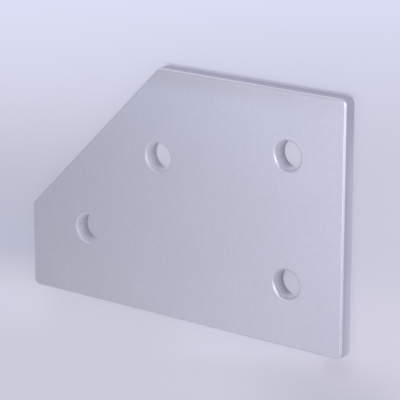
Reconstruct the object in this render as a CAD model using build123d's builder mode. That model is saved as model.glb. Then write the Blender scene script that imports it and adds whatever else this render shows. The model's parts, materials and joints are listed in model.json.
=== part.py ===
"""A 45 degree joining plate for square aluminium extrusion.

The plate ties a brace to a straight profile. Two holes lie over the straight profile's slot and
two over the brace's slot, and one screw and slot nut goes through each. The back face lies on
both profiles. The plate is cut from one piece of aluminium, tumbled, drilled and anodised.

Frame: the plate lies on its back face, at Z = 0, with the front face up. The origin is midway
between the straight profile's two holes. +Y runs along that profile and +X to its outer side.
"""

import os
from math import cos, radians, sin, tan

from build123d import *

# Profiles
profile_width = 40.0  # both profiles are this square
brace_angle = radians(45.0)  # between the brace and the straight profile

# Plate
plate_height = 80.0  # along the straight profile
plate_thickness = 5.0
corner_radius = 2.0  # in plan, at each of the five corners
edge_radius = 0.7  # outer rims of both faces, and the holes' front rims

# Screw holes
screw_diameter = 8.0
screw_clearance = 1.0  # on the diameter
hole_pitch = 40.0  # between the two holes of a pair
brace_hole_offset = 40.0  # from the brace's sawn end to its first hole

# Two sides are flush with the profiles' outer sides. The brace's centre line comes in where the
# top edge crosses the straight profile's inner side, and goes out at the lower inner corner.
half_width = profile_width / 2
half_height = plate_height / 2
outer_x = half_width
inner_x = -half_width - plate_height * tan(brace_angle)
outline_points = [
    (outer_x, -half_height),
    (outer_x, half_height),
    (-half_width - half_width / cos(brace_angle), half_height),
    (inner_x, -half_height + half_width / sin(brace_angle)),
    (inner_x, -half_height),
]


def along_brace(distance: float) -> tuple[float, float]:
    """The point on the brace's centre line at a distance from its sawn end."""
    return (
        -half_width - distance * sin(brace_angle),
        half_height - distance * cos(brace_angle),
    )


hole_points = [
    (0.0, -hole_pitch / 2),
    (0.0, hole_pitch / 2),
    along_brace(brace_hole_offset),
    along_brace(brace_hole_offset + hole_pitch),
]

with BuildPart() as joining_plate:
    # The blank: a rectangle with one corner cut off along the brace's outer side
    with BuildSketch() as blank:
        with BuildLine():
            Polyline(*outline_points, close=True)
        make_face()
        fillet(blank.vertices(), radius=corner_radius)
    extrude(amount=plate_thickness)

    # Clearance holes for the screws
    with Locations(*hole_points):
        Hole(radius=(screw_diameter + screw_clearance) / 2)

    # Both faces have their outer rims rounded, and so are the holes' front rims. The holes'
    # back rims are sharp, so that the back face bears on the profiles right up to them
    front_face = joining_plate.faces().sort_by(Axis.Z)[-1]
    back_face = joining_plate.faces().sort_by(Axis.Z)[0]
    fillet([*front_face.edges(), *back_face.outer_wire().edges()], radius=edge_radius)

joining_plate.part.label = "joining_plate"

os.makedirs("parts", exist_ok=True)
export_step(joining_plate.part, "parts/joining_plate.step")
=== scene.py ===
"""Dresses a 45 degree joining plate for aluminium extrusion and sets it out on a pale table.

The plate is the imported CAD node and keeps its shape. This script gives it the finish of cut,
drilled, tumbled and clear anodised aluminium, and adds the table, the lamps and the camera.
Sizes are in metres, in the part's own frame: the back face on Z = 0 and the front face up.
"""

import json
import logging
import math
from dataclasses import dataclass
from enum import Enum

import bpy
import numpy as np
from mathutils import Matrix, Vector


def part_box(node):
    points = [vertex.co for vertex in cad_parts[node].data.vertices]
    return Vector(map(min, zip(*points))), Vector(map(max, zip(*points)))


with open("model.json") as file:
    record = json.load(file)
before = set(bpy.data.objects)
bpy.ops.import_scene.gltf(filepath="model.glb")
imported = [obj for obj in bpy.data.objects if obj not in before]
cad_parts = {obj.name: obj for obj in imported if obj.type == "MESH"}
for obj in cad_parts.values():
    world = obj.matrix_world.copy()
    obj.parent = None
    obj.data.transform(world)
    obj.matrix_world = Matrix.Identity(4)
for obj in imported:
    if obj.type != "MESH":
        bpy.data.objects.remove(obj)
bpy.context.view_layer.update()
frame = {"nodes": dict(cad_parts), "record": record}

log = logging.getLogger("joining_plate")

Colour = tuple[float, float, float]
Point = tuple[float, float, float]
Socket = bpy.types.NodeSocket
Value = float | Socket
Box = tuple[Vector, Vector]
Span = tuple[float, float]
Edges = tuple[float, float, float, float]

MILLIMETRE = 0.001

CARD_WAY: Point = (-0.18, 1.0, 0.0)  # the way on the card that is upright for the camera
NOISE_SPAN: Span = (0.3, 0.7)  # where most of a noise texture's values lie
SIDE_TILT: Span = (0.05, 0.35)  # the normal's part along Z, from a side to a rim
FACE_TILT: Span = (0.93, 0.995)  # the normal's part along Z, from a rim to a face


class Lay(Enum):
    """The way that a tool's marks run: the vector's scale across and along Z."""

    ALONG_Z = (1.0, 1.0, 0.03)
    ROUND_Z = (0.03, 0.03, 1.0)


# ----------------------------------------------------------------------------------------------
# Shader nodes
# ----------------------------------------------------------------------------------------------


class Nodes:
    """A node tree with short calls that add nodes and join them."""

    def __init__(self, tree: bpy.types.NodeTree) -> None:
        """Keeps the tree.

        Args:
            tree: the tree that the nodes go into.
        """
        self.tree = tree

    def plug(self, socket: Socket, value: object) -> None:
        """Joins a node's output to an input, or sets the input to a number or a colour."""
        if isinstance(value, bpy.types.NodeSocket):
            self.tree.links.new(value, socket)
        else:
            socket.default_value = value

    def add(self, kind: str, inputs: dict | None = None, **settings: object) -> bpy.types.Node:
        """Adds a node.

        Args:
            kind: the node's type without the ShaderNode in front.
            inputs: a value or a node's output for each input socket, by name or number.
            settings: the node's own properties.

        Returns:
            The new node.
        """
        node = self.tree.nodes.new(f"ShaderNode{kind}")
        for name, value in settings.items():
            setattr(node, name, value)
        for key, value in (inputs or {}).items():
            self.plug(node.inputs[key], value)
        return node

    def math(self, operation: str, *values: Value) -> Socket:
        """The result of a Math node on one to three values."""
        return self.add("Math", dict(enumerate(values)), operation=operation).outputs[0]

    def step(self, value: Socket, low: float, high: float) -> Socket:
        """A smooth step, 0 up to low and 1 from high."""
        inputs = {"Value": value, "From Min": low, "From Max": high}
        return self.add("MapRange", inputs, interpolation_type="SMOOTHSTEP").outputs["Result"]

    def ramp(self, value: Socket, low: float, high: float) -> Socket:
        """A straight rise, 0 up to low and 1 from high."""
        inputs = {"Value": value, "From Min": low, "From Max": high}
        return self.add("MapRange", inputs).outputs["Result"]

    def along(self, place: Socket, way: Point) -> Socket:
        """How far a point lies along a way, as their dot product."""
        return self.add("VectorMath", {0: place, 1: way}, operation="DOT_PRODUCT").outputs["Value"]

    def between(self, factor: Value, first: Value, second: Value) -> Socket:
        """The first value where factor is 0, turning into the second where it is 1."""
        return self.add("Mix", {0: factor, 2: first, 3: second}, data_type="FLOAT").outputs[0]

    def colour(self, factor: Value, first: Colour | Socket, second: Colour | Socket) -> Socket:
        """The first colour where factor is 0, turning into the second where it is 1."""
        full = [c if isinstance(c, bpy.types.NodeSocket) else (*c, 1.0) for c in (first, second)]
        return self.add("Mix", {0: factor, 6: full[0], 7: full[1]}, data_type="RGBA").outputs[2]

    def band(self, value: Socket, edges: Edges) -> Socket:
        """A smooth rise from 0 to 1 between the first two edges, and back between the others."""
        rise = self.step(value, *edges[:2])
        fall = self.step(value, *edges[2:])
        return self.math("MULTIPLY", rise, self.math("SUBTRACT", 1.0, fall))

    def tinted(self, factor: Value, colour: Socket, tint: Colour) -> Socket:
        """The colour where factor is 0, turning into its product with the tint where it is 1."""
        inputs = {0: factor, 6: colour, 7: (*tint, 1.0)}
        return self.add("Mix", inputs, data_type="RGBA", blend_type="MULTIPLY").outputs[2]

    def group(self, tree: bpy.types.NodeTree, inputs: dict) -> bpy.types.Node:
        """Places a node group with its inputs set."""
        node = self.tree.nodes.new("ShaderNodeGroup")
        node.node_tree = tree
        for key, value in inputs.items():
            self.plug(node.inputs[key], value)
        return node


def start_group(name: str, inputs: dict[str, str], outputs: list[str]) -> tuple:
    """Starts a shader node group that puts out numbers.

    Args:
        name: the group's name.
        inputs: each input's socket type, Float or Vector, by name.
        outputs: the outputs' names.

    Returns:
        The group's Nodes, its inputs by name and the node that takes its outputs.
    """
    tree = bpy.data.node_groups.new(name, "ShaderNodeTree")
    for label, kind in inputs.items():
        tree.interface.new_socket(name=label, in_out="INPUT", socket_type=f"NodeSocket{kind}")
    for label in outputs:
        tree.interface.new_socket(name=label, in_out="OUTPUT", socket_type="NodeSocketFloat")
    given = tree.nodes.new("NodeGroupInput").outputs
    return Nodes(tree), given, tree.nodes.new("NodeGroupOutput")


def make_grain() -> bpy.types.NodeTree:
    """Builds the grain group: cloudy noise whose lumps have a given size.

    Returns:
        The group, with inputs Vector and Size and the output Grain, about 0.5 on average.
    """
    nodes, given, result = start_group("grain", {"Vector": "Vector", "Size": "Float"}, ["Grain"])
    scale = nodes.math("DIVIDE", 1.0, given["Size"])
    noise = nodes.add("TexNoise", {"Vector": given["Vector"], "Scale": scale, "Detail": 3.0})
    nodes.plug(result.inputs["Grain"], noise.outputs[0])
    return nodes.tree


def make_marks() -> bpy.types.NodeTree:
    """Builds the marks group: fine lines left by a tool, as noise drawn out along their run.

    Returns:
        The group, with inputs Vector, Lay and Width and the output Marks, about 0.5 on average.
    """
    sockets = {"Vector": "Vector", "Lay": "Vector", "Width": "Float"}
    nodes, given, result = start_group("tool_marks", sockets, ["Marks"])
    drawn = nodes.add("VectorMath", {0: given["Vector"], 1: given["Lay"]}, operation="MULTIPLY")
    scale = nodes.math("DIVIDE", 1.0, given["Width"])
    noise = nodes.add("TexNoise", {"Vector": drawn.outputs[0], "Scale": scale, "Detail": 2.0})
    nodes.plug(result.inputs["Marks"], noise.outputs[0])
    return nodes.tree


def make_regions() -> bpy.types.NodeTree:
    """Builds the regions group: which part of a flat plate a point is on, from its normal.

    The sides and bores have a normal across Z, the faces one along Z, and the rim between them
    is where the normal turns from one to the other.

    Returns:
        The group, with outputs Side and Rim, each 0 or 1 and smooth between.
    """
    nodes, _, result = start_group("plate_regions", {}, ["Side", "Rim"])
    normal = nodes.add("NewGeometry").outputs["Normal"]
    upright = nodes.add("SeparateXYZ", {0: normal}).outputs["Z"]
    tilt = nodes.math("ABSOLUTE", upright)
    off_side = nodes.step(tilt, *SIDE_TILT)
    off_face = nodes.math("SUBTRACT", 1.0, nodes.step(tilt, *FACE_TILT))
    nodes.plug(result.inputs["Side"], nodes.math("SUBTRACT", 1.0, off_side))
    nodes.plug(result.inputs["Rim"], nodes.math("MULTIPLY", off_side, off_face))
    return nodes.tree


# ----------------------------------------------------------------------------------------------
# Finishes
# ----------------------------------------------------------------------------------------------


@dataclass(frozen=True)
class Effects:
    """The node groups that the finishes share."""

    grain: bpy.types.NodeTree
    marks: bpy.types.NodeTree
    regions: bpy.types.NodeTree


@dataclass(frozen=True)
class AnodisedAluminium:
    """Aluminium plate that was cut, drilled, tumbled and then clear anodised to a satin."""

    # The faces, with painted light near the top side and the bottom side
    face_colour: Colour = (0.551, 0.554, 0.681)
    top_painted_light: Colour = (1.06, 1.073, 1.09)
    bottom_painted_light: Colour = (1.062, 1.044, 1.034)
    top_band: Edges = (0.1, 0.9, 0.8, 0.95)  # shares of the way from the middle to the top
    bottom_from: float = 0.25  # share of the way from the middle to the bottom
    right_fade: Span = (-0.01, 0.015)  # where both tints fade along X
    top_right_share: float = 0.3  # what is left of the top tint beyond that
    cloud_depth: float = 0.008
    fleck_depth: float = 0.02

    # The rims and the sides; the sides' back colour is painted light next to the back face
    rim_colour: Colour = (0.80, 0.805, 0.92)
    side_colour: Colour = (0.58, 0.57, 0.63)
    side_painted_light_colour: Colour = (0.80, 0.80, 0.87)
    band_end: float = 0.35  # share of the way to the top side where the light sides fade
    facing_span: Span = (0.0, 0.6)  # the normal's part along X, from a wall off +X to one on it

    # The bores' walls carry painted shade and light: on the walls that face +X the front colour is
    # painted light and the back colour painted shade, lighter at the far bores, and the low colour
    # is painted light next to the back face on the other walls
    bore_rim_colour: Colour = (0.71, 0.715, 0.83)
    bore_colour: Colour = (0.80, 0.81, 0.88)
    bore_low_painted_light_colour: Colour = (0.98, 0.99, 1.0)
    bore_front_painted_light_colour: Colour = (0.93, 0.935, 1.0)
    bore_back_painted_shade_colour: Colour = (0.40, 0.40, 0.44)
    far_bore_painted_light_colour: Colour = (0.62, 0.62, 0.67)
    bore_reach: float = 5.5 * MILLIMETRE
    dull_power: float = 2.0  # how soon the dullness falls off from the far bore

    face_roughness: float = 0.46
    rim_roughness: float = 0.36
    side_roughness: float = 0.5
    dull_roughness: float = 0.75
    roughness_spread: float = 0.10

    cloud_size: float = 14 * MILLIMETRE
    fleck_size: float = 0.9 * MILLIMETRE
    grain_size: float = 0.28 * MILLIMETRE
    grain_height: float = 0.012 * MILLIMETRE
    mark_width: float = 0.22 * MILLIMETRE
    mark_height: float = 0.018 * MILLIMETRE

    def near_bores(self, nodes: Nodes, place: Socket, bores: list[Point]) -> Socket:
        """Marks the bores: 1 within reach of a bore's axis and 0 beyond it.

        Args:
            nodes: the material's nodes.
            place: the point in the part's frame.
            bores: a point on each bore's axis, all along Z.

        Returns:
            The mask.
        """
        flat = nodes.add("VectorMath", {0: place, 1: (1.0, 1.0, 0.0)}, operation="MULTIPLY")
        nearest: Value = 1.0
        for x, y, _ in bores:
            inputs = {0: flat.outputs[0], 1: (x, y, 0.0)}
            away = nodes.add("VectorMath", inputs, operation="DISTANCE").outputs["Value"]
            nearest = nodes.math("MINIMUM", nearest, away)
        return nodes.math("LESS_THAN", nearest, self.bore_reach)

    def shade(self, colour: Colour, factor: float) -> Colour:
        """A colour with each part multiplied by a factor."""
        return tuple(part * factor for part in colour)

    def painted_light_bands(self, nodes: Nodes, place: Socket, tone: Socket, box: Box) -> Socket:
        """The faces' colour with painted light, a little lighter near the top side and the bottom
        side.

        Args:
            nodes: the material's nodes.
            place: the point in the part's frame.
            tone: the faces' colour before.
            box: the plate's lowest and highest corners.

        Returns:
            The colour.
        """
        low, high = box
        where = nodes.add("SeparateXYZ", {0: place}).outputs
        top = nodes.band(where["Y"], tuple(share * high.y for share in self.top_band))
        down = nodes.math("MULTIPLY", where["Y"], -1.0)
        bottom = nodes.step(down, -self.bottom_from * low.y, -low.y)
        right = nodes.step(where["X"], *self.right_fade)
        top = nodes.math("MULTIPLY", top, nodes.between(right, 1.0, self.top_right_share))
        bottom = nodes.math("MULTIPLY", bottom, nodes.between(right, 1.0, 0.0))
        tone = nodes.tinted(top, tone, self.top_painted_light)
        return nodes.tinted(bottom, tone, self.bottom_painted_light)

    def wall_tone(
        self, nodes: Nodes, place: Socket, bored: Socket, dull: Socket, box: Box
    ) -> Socket:
        """The colour of the sides and bores, which changes between the back and front faces.

        Towards the back, the bores' walls get painted shade where they face +X, less of it at the
        far bores, and a little painted light elsewhere. The sides that face +X get painted light
        towards the back, apart from the end at +Y.

        Args:
            nodes: the material's nodes.
            place: the point in the part's frame.
            bored: 1 at the bores.
            dull: how dull the bores are, from 0 to 1, which also gives the far bores painted light
                near the back.
            box: the plate's lowest and highest corners.

        Returns:
            The colour.
        """
        low, high = box
        where = nodes.add("SeparateXYZ", {0: place}).outputs
        rise = nodes.ramp(where["Z"], low.z, high.z)
        normal = nodes.add("NewGeometry").outputs["Normal"]
        facing = nodes.step(
            nodes.add("SeparateXYZ", {0: normal}).outputs["X"], *self.facing_span
        )
        # Painted light on the sides that face +X, towards the back and away from the end at +Y
        end = nodes.step(where["Y"], self.band_end * high.y, high.y)
        side_painted_light = nodes.math("MULTIPLY", facing, nodes.math("SUBTRACT", 1.0, end))
        side_painted_light = nodes.math("MULTIPLY", side_painted_light, nodes.math("SUBTRACT", 1.0, rise))
        side = nodes.colour(side_painted_light, self.side_colour, self.side_painted_light_colour)
        # Painted shade at the back of the bore walls that face +X, painted light at their front
        # and low on the other walls
        back = nodes.colour(dull, self.bore_back_painted_shade_colour, self.far_bore_painted_light_colour)
        painted_shade_walls = nodes.colour(rise, back, self.bore_front_painted_light_colour)
        painted_light_walls = nodes.colour(rise, self.bore_low_painted_light_colour, self.bore_colour)
        return nodes.colour(bored, side, nodes.colour(facing, painted_light_walls, painted_shade_walls))

    def dulled(self, nodes: Nodes, place: Socket, bored: Socket, bores: list[Point]) -> Socket:
        """How dull the bores are, from 0 at the ones furthest along +X to 1 at the other end.

        Args:
            nodes: the material's nodes.
            place: the point in the part's frame.
            bored: 1 at the bores.
            bores: a point on each bore's axis.

        Returns:
            The mask, 0 away from the bores.
        """
        ends = [pick(x for x, _, _ in bores) for pick in (min, max)]
        along = nodes.step(nodes.add("SeparateXYZ", {0: place}).outputs["X"], *ends)
        left = nodes.math("POWER", nodes.math("SUBTRACT", 1.0, along), self.dull_power)
        return nodes.math("MULTIPLY", bored, left)

    def make(self, effects: Effects, bores: list[Point], box: Box) -> bpy.types.Material:
        """Builds the material.

        Args:
            effects: the shared node groups.
            bores: a point on each bore's axis.
            box: the plate's lowest and highest corners.

        Returns:
            The material.
        """
        material = bpy.data.materials.new("tumbled_anodised_aluminium")
        material.use_nodes = True
        nodes = Nodes(material.node_tree)
        shader = material.node_tree.nodes["Principled BSDF"]
        place = nodes.add("TexCoord").outputs["Object"]

        regions = nodes.group(effects.regions, {})
        side, rim = regions.outputs["Side"], regions.outputs["Rim"]
        cloud, fleck, grain = (
            nodes.group(effects.grain, {"Vector": place, "Size": size}).outputs["Grain"]
            for size in (self.cloud_size, self.fleck_size, self.grain_size)
        )
        cutter, drill = (
            nodes.group(
                effects.marks, {"Vector": place, "Lay": lay.value, "Width": self.mark_width}
            ).outputs["Marks"]
            for lay in (Lay.ALONG_Z, Lay.ROUND_Z)
        )
        bored = self.near_bores(nodes, place, bores)
        marks = nodes.between(bored, cutter, drill)

        dark = self.shade(self.face_colour, 1 - self.cloud_depth)
        light = self.shade(self.face_colour, 1 + self.cloud_depth)
        tone = nodes.colour(nodes.step(cloud, *NOISE_SPAN), dark, light)
        # Painted light: the faces are lighter near the top side and the bottom side
        tone = self.painted_light_bands(nodes, place, tone, box)
        speck = nodes.between(nodes.step(fleck, *NOISE_SPAN), -self.fleck_depth, self.fleck_depth)
        flecked = nodes.add(
            "HueSaturation", {"Value": nodes.math("ADD", 1.0, speck), "Color": tone}
        ).outputs["Color"]
        rounded = nodes.colour(bored, self.rim_colour, self.bore_rim_colour)
        dull = self.dulled(nodes, place, bored, bores)
        wall = self.wall_tone(nodes, place, bored, dull, box)
        edged = nodes.colour(side, nodes.colour(rim, flecked, rounded), wall)
        nodes.plug(shader.inputs["Base Color"], edged)

        spread = nodes.math("MULTIPLY", nodes.math("SUBTRACT", grain, 0.5), self.roughness_spread)
        rims = nodes.between(dull, self.rim_roughness, self.dull_roughness)
        walls = nodes.between(dull, self.side_roughness, self.dull_roughness)
        rough = nodes.between(side, nodes.between(rim, self.face_roughness, rims), walls)
        nodes.plug(shader.inputs["Roughness"], nodes.math("ADD", rough, spread))
        shader.inputs["Metallic"].default_value = 1.0

        blasted = nodes.math("MULTIPLY", grain, self.grain_height)
        cut = nodes.math("MULTIPLY", marks, self.mark_height)
        bump = nodes.add(
            "Bump",
            {"Strength": 1.0, "Distance": 1.0, "Height": nodes.between(side, blasted, cut)},
        )
        nodes.plug(shader.inputs["Normal"], bump.outputs["Normal"])
        return material


@dataclass(frozen=True)
class PaintedShading:
    """A soft patch of painted shade on a card, or of painted light where its tint is above 1: its
    tint, and its edges along a way on the card and along X.
    """

    tint: Colour
    along: Edges
    across: Edges
    way: Point = CARD_WAY


@dataclass(frozen=True)
class PaleCard:
    """Matt card with painted light, lighter and bluer one way, and painted shade and light beside
    and under the plate.
    """

    # A painted gradient of light: the card gets lighter and bluer along its way
    near_colour: Colour = (0.642, 0.634, 0.76)
    far_colour: Colour = (0.78, 0.805, 1.0)
    lighter_span: Span = (0.01, 0.088)  # metres along the way
    painted_patches: tuple[PaintedShading, ...] = (
        # Painted shade beyond the left side, and painted light towards the front
        PaintedShading(
            tint=(0.83, 0.855, 0.885),
            along=(-0.023, -0.01, -0.005, 0.05),
            across=(-0.19, -0.13, -0.1, -0.03),
        ),
        PaintedShading(
            tint=(1.06, 1.06, 1.06),
            along=(-0.045, -0.03, -0.027, -0.02),
            across=(-0.16, -0.12, -0.107, -0.09),
        ),
        # Painted shade beyond the right side, and painted light towards the front
        PaintedShading(
            tint=(0.955, 0.963, 0.975),
            along=(-0.03, -0.01, 0.06, 0.14),
            across=(-0.12, 0.04, 0.045, 0.12),
        ),
        PaintedShading(
            tint=(1.05, 1.04, 1.03),
            along=(-0.06, -0.05, -0.04, -0.01),
            across=(-0.01, 0.03, 0.035, 0.09),
        ),
        # Painted light in front of the bottom side next to it, and painted shade further out
        PaintedShading(
            tint=(1.06, 1.06, 1.06),
            along=(-0.05, -0.043, -0.036, -0.03),
            across=(-0.06, -0.03, 0.003, 0.015),
        ),
        PaintedShading(
            tint=(0.88, 0.88, 0.89),
            along=(-0.11, -0.06, -0.054, -0.042),
            across=(-0.03, 0.014, 0.016, 0.055),
        ),
        # Painted contact shadows behind the top side and at the lower right corner
        PaintedShading(
            tint=(0.76, 0.76, 0.78),
            along=(0.039, 0.04, 0.0402, 0.041),
            across=(-0.05, -0.0465, 0.017, 0.0205),
            way=(0.0, 1.0, 0.0),
        ),
        PaintedShading(
            tint=(0.92, 0.922, 0.925),
            along=(-0.052, -0.0475, -0.0463, -0.0435),
            across=(0.008, 0.0145, 0.0165, 0.024),
        ),
        # Painted shade under the far brace hole and the lower straight hole, and painted light
        # under the upper straight hole
        PaintedShading(
            tint=(0.84, 0.84, 0.82),
            along=(-0.025, -0.01, 0.005, 0.02),
            across=(-0.1, -0.085, -0.068, -0.055),
        ),
        PaintedShading(
            tint=(0.93, 0.935, 0.94),
            along=(-0.035, -0.027, -0.012, -0.004),
            across=(-0.015, -0.008, 0.008, 0.015),
        ),
        PaintedShading(
            tint=(1.06, 1.055, 1.05),
            along=(0.004, 0.012, 0.03, 0.038),
            across=(-0.015, -0.008, 0.008, 0.015),
        ),
    )
    glow: float = 0.65  # the share that shows the card's own colour
    roughness: float = 0.9
    specular: float = 0.2
    grain_size: float = 0.4 * MILLIMETRE
    grain_height: float = 0.01 * MILLIMETRE

    def tone(self, nodes: Nodes, place: Socket) -> Socket:
        """The card's colour with painted light, blended along its way and tinted by the patches of
        painted shade and light.

        Args:
            nodes: the material's nodes.
            place: the point on the card.

        Returns:
            The colour.
        """
        across = nodes.add("SeparateXYZ", {0: place}).outputs["X"]
        light = nodes.step(nodes.along(place, CARD_WAY), *self.lighter_span)
        tone = nodes.colour(light, self.near_colour, self.far_colour)
        # Each patch paints shade or light onto the card
        for shade in self.painted_patches:
            reach = nodes.math(
                "MULTIPLY",
                nodes.band(nodes.along(place, shade.way), shade.along),
                nodes.band(across, shade.across),
            )
            tone = nodes.tinted(reach, tone, shade.tint)
        return tone

    def make(self, effects: Effects) -> bpy.types.Material:
        """Builds the material.

        The card shows its own colour to the camera and in the plate, apart from a share that
        takes the lamps' light and keeps the plate's shadow.

        Args:
            effects: the shared node groups.

        Returns:
            The material.
        """
        material = bpy.data.materials.new("pale_card")
        material.use_nodes = True
        nodes = Nodes(material.node_tree)
        shader = material.node_tree.nodes["Principled BSDF"]
        output = material.node_tree.nodes["Material Output"]
        place = nodes.add("TexCoord").outputs["Object"]

        tone = self.tone(nodes, place)
        nodes.plug(shader.inputs["Base Color"], tone)
        shader.inputs["Roughness"].default_value = self.roughness
        shader.inputs["Specular IOR Level"].default_value = self.specular
        grain = nodes.group(effects.grain, {"Vector": place, "Size": self.grain_size})
        height = nodes.math("MULTIPLY", grain.outputs["Grain"], self.grain_height)
        bump = nodes.add("Bump", {"Distance": 1.0, "Height": height})
        nodes.plug(shader.inputs["Normal"], bump.outputs["Normal"])

        light = nodes.add("Emission", {"Color": tone, "Strength": 1.0})
        path = nodes.add("LightPath").outputs
        seen = nodes.math("MAXIMUM", path["Is Camera Ray"], path["Is Glossy Ray"])
        seen = nodes.math("MAXIMUM", seen, path["Is Transmission Ray"])
        share = nodes.math("MULTIPLY", seen, self.glow)
        mixed = nodes.add("MixShader", {0: share, 1: shader.outputs[0], 2: light.outputs[0]})
        nodes.plug(output.inputs["Surface"], mixed.outputs[0])
        return material


# ----------------------------------------------------------------------------------------------
# The plate and what stands round it
# ----------------------------------------------------------------------------------------------


@dataclass
class JoiningPlate:
    """The plate, one piece of anodised aluminium with four screw holes."""

    finish: AnodisedAluminium
    node: str = "joining_plate"

    def bores(self) -> list[Point]:
        """The middle of each screw hole, from the record's openings."""
        boxes = [opening["box_m"] for opening in frame["record"]["physics"]["openings"]]
        return [tuple(np.mean(box, axis=0)) for box in boxes]

    def dress(self, effects: Effects) -> bpy.types.Object:
        """Gives the CAD node its finish.

        Args:
            effects: the shared node groups.

        Returns:
            The node's object.
        """
        plate = frame["nodes"][self.node]
        material = self.finish.make(effects, self.bores(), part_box(self.node))
        for slot in plate.material_slots:
            slot.material = material
        return plate


@dataclass
class Table:
    """The round table top that the plate lies on."""

    finish: PaleCard
    radius: float = 3.0
    gap: float = 0.01 * MILLIMETRE
    rings: int = 24
    spokes: int = 96

    def build(self, effects: Effects) -> bpy.types.Object:
        """Makes the table top.

        The surface is a disc: the point at ring u and angle a is (u cos a, u sin a), at the
        height of the plate's back face less a gap. The rings grow with the square of u, so
        they are closest under the plate.

        Args:
            effects: the shared node groups.

        Returns:
            The table's object.
        """
        low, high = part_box("joining_plate")
        reach = self.radius * np.linspace(0.0, 1.0, self.rings + 1)[1:] ** 2
        angle = np.linspace(0.0, 2 * np.pi, self.spokes, endpoint=False)
        u, a = np.meshgrid(reach, angle, indexing="ij")
        height = np.full(u.size, low.z - self.gap)
        rim = np.column_stack([(u * np.cos(a)).ravel(), (u * np.sin(a)).ravel(), height])
        points = np.vstack([[0.0, 0.0, low.z - self.gap], rim])
        points[:, :2] += np.array((low + high) / 2)[:2]

        spoke = np.arange(self.spokes)
        after = (spoke + 1) % self.spokes
        fan = np.column_stack([np.zeros_like(spoke), 1 + spoke, 1 + after])
        ring = 1 + self.spokes * np.arange(self.rings - 1)[:, None]
        outer = ring + self.spokes
        corners = (ring + spoke, outer + spoke, outer + after, ring + after)
        quads = np.stack(corners, axis=-1).reshape(-1, 4)

        mesh = bpy.data.meshes.new("table_top")
        mesh.from_pydata(points, [], [*fan.tolist(), *quads.tolist()])
        mesh.materials.append(self.finish.make(effects))
        table = bpy.data.objects.new("table_top", mesh)
        bpy.context.scene.collection.objects.link(table)
        return table


@dataclass
class SoftBox:
    """A square lamp with an even face."""

    name: str
    place: Point
    aim: Point
    width: float
    brightness: float

    def build(self) -> bpy.types.Object:
        """Makes the lamp and points it at its aim.

        A face of side w and brightness b sends out pi times b times w squared watts.

        Returns:
            The lamp's object.
        """
        lamp = bpy.data.lights.new(self.name, "AREA")
        lamp.shape = "SQUARE"
        lamp.size = self.width
        lamp.energy = math.pi * self.brightness * self.width**2
        holder = bpy.data.objects.new(self.name, lamp)
        back = Vector(self.place) - Vector(self.aim)
        holder.matrix_world = Matrix.Translation(self.place) @ back.to_track_quat(
            "Z", "Y"
        ).to_matrix().to_4x4()
        bpy.context.scene.collection.objects.link(holder)
        return holder


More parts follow.
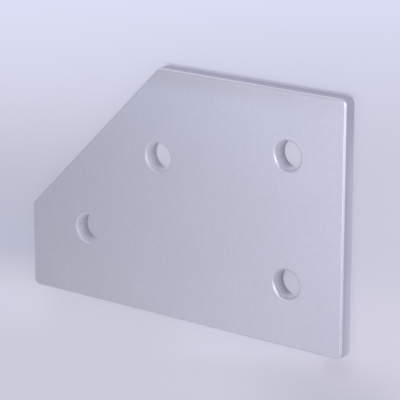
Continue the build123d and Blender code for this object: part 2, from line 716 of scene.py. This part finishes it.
@dataclass
class Studio:
    """The soft light round the plate.

    The room is brightest at the horizon, as pale walls are, and evens out by a given height,
    where a height is the sine of the angle above the horizon.
    """

    room_brightness: float = 0.46
    wall_brightness: float = 1.0
    wall_height: float = 0.55
    backdrop: Colour = (0.70, 0.71, 0.86)

    def lamps(self) -> list[SoftBox]:
        """The lamps: two over the plate for its faces, two low at +X for its rims, one behind.

        Returns:
            The lamps, aimed at the plate's middle or at its right half.
        """
        middle = (-0.04, 0.0, 0.0)
        right = (0.0, 0.0, 0.0)
        return [
            SoftBox("over_lamp", (-0.04, -0.03, 0.45), middle, width=0.3, brightness=1.4),
            SoftBox("front_lamp", (-0.15, -0.11, 0.39), middle, width=0.3, brightness=0.6),
            SoftBox("side_lamp", (0.22, 0.03, 0.15), middle, width=0.16, brightness=1.2),
            SoftBox("corner_lamp", (0.24, 0.16, 0.165), right, width=0.2, brightness=1.4),
            SoftBox("back_lamp", (-0.2, 0.2, 0.24), middle, width=0.2, brightness=0.15),
        ]

    def build(self) -> None:
        """Makes the room's even light and the lamps."""
        world = bpy.data.worlds.new("room")
        bpy.context.scene.world = world
        world.use_nodes = True
        nodes = Nodes(world.node_tree)
        room = world.node_tree.nodes["Background"]
        output = world.node_tree.nodes["World Output"]
        room.inputs["Color"].default_value = (1.0, 1.0, 1.0, 1.0)
        way = nodes.add("TexCoord").outputs["Generated"]
        height = nodes.math("ABSOLUTE", nodes.add("SeparateXYZ", {0: way}).outputs["Z"])
        rise = nodes.step(height, 0.0, self.wall_height)
        nodes.plug(
            room.inputs["Strength"],
            nodes.between(rise, self.wall_brightness, self.room_brightness),
        )
        seen = nodes.add("Background", {"Color": (*self.backdrop, 1.0), "Strength": 1.0})
        camera_ray = nodes.add("LightPath").outputs["Is Camera Ray"]
        mixed = nodes.add("MixShader", {0: camera_ray, 1: room.outputs[0], 2: seen.outputs[0]})
        nodes.plug(output.inputs["Surface"], mixed.outputs[0])
        for lamp in self.lamps():
            lamp.build()
            log.info("lamp %s", lamp.name)


@dataclass
class PlateCamera:
    """A long lens that looks down on the front face, with +Y up in its view."""

    aim_from_centre: Point = (0.0078, 0.0008, 0.0025)
    turn: float = math.radians(36.56)
    lift: float = math.radians(16.65)
    distance: float = 0.669
    focal_length: float = 197.0
    clip: Span = (0.01, 20.0)

    def build(self) -> bpy.types.Object:
        """Makes the camera and looks through it.

        The camera stands off the aim by its distance, turned from the face's normal towards
        +X and lifted towards +Y.

        Returns:
            The camera's object.
        """
        low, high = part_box("joining_plate")
        aim = (low + high) / 2 + Vector(self.aim_from_centre)
        back = Vector(
            (
                math.sin(self.turn) * math.cos(self.lift),
                math.sin(self.lift),
                math.cos(self.turn) * math.cos(self.lift),
            )
        )
        right = Vector((0.0, 1.0, 0.0)).cross(back).normalized()
        up = back.cross(right)
        lens = bpy.data.cameras.new("plate_camera")
        lens.lens = self.focal_length
        lens.clip_start, lens.clip_end = self.clip
        camera = bpy.data.objects.new("plate_camera", lens)
        turned = Matrix((right, up, back)).transposed().to_4x4()
        camera.matrix_world = Matrix.Translation(aim + back * self.distance) @ turned
        bpy.context.scene.collection.objects.link(camera)
        bpy.context.scene.camera = camera
        return camera


def clear_start_scene() -> None:
    """Removes the objects that a new file starts with and sets the plain colour transform."""
    for name in ("Cube", "Light", "Camera"):
        if name in bpy.data.objects:
            bpy.data.objects.remove(bpy.data.objects[name])
    bpy.context.scene.view_settings.view_transform = "Standard"


def main() -> None:
    """Builds the scene in order: camera, room, table and plate."""
    logging.basicConfig(level=logging.INFO, format="%(message)s")
    clear_start_scene()
    PlateCamera().build()
    Studio().build()
    effects = Effects(make_grain(), make_marks(), make_regions())
    log.info("stage %s", Table(PaleCard()).build(effects).name)
    log.info("piece %s", JoiningPlate(AnodisedAluminium()).dress(effects).name)


if __name__ == "__main__":
    main()
